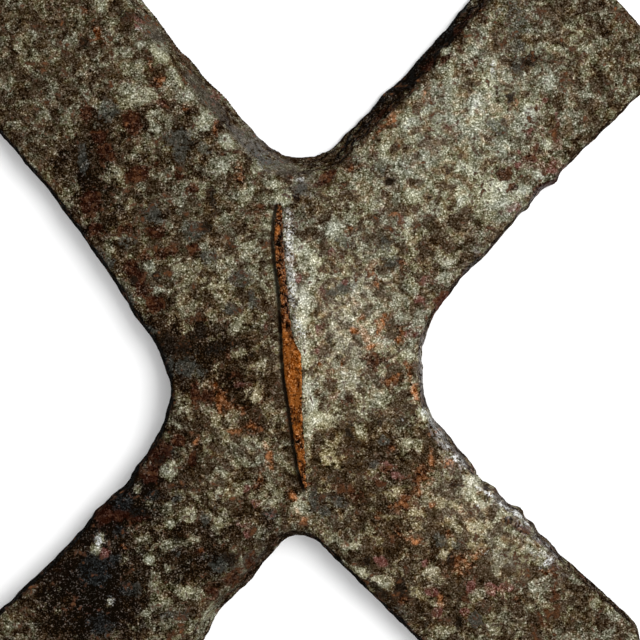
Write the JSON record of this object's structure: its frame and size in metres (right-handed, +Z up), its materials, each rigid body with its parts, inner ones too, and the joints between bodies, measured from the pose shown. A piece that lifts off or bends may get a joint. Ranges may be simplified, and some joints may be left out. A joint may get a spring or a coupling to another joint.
{
  "type": "katanga cross",
  "caption": "Stocky X-shaped cast copper currency ingot with sloping sides, a crowned face, a short leaning ridge on its waist and a flat underside.",
  "frame": {"origin": "on the flat underside, at the middle of the waist between the two forks", "axes": "+Z up through the thickness, out of the ridged face; +Y along the waist, towards the two wider arms; +X to the right when the face is seen with those arms up"},
  "size_m": [0.1692, 0.1936, 0.0121],
  "materials": {
    "patinated_copper": "mottled khaki, slate and red-brown patina on copper, rough as cast, bare copper on the ridge"
  },
  "bodies": {
    "root": {"cross_casting": "patinated_copper"}
  },
  "joints": []
}
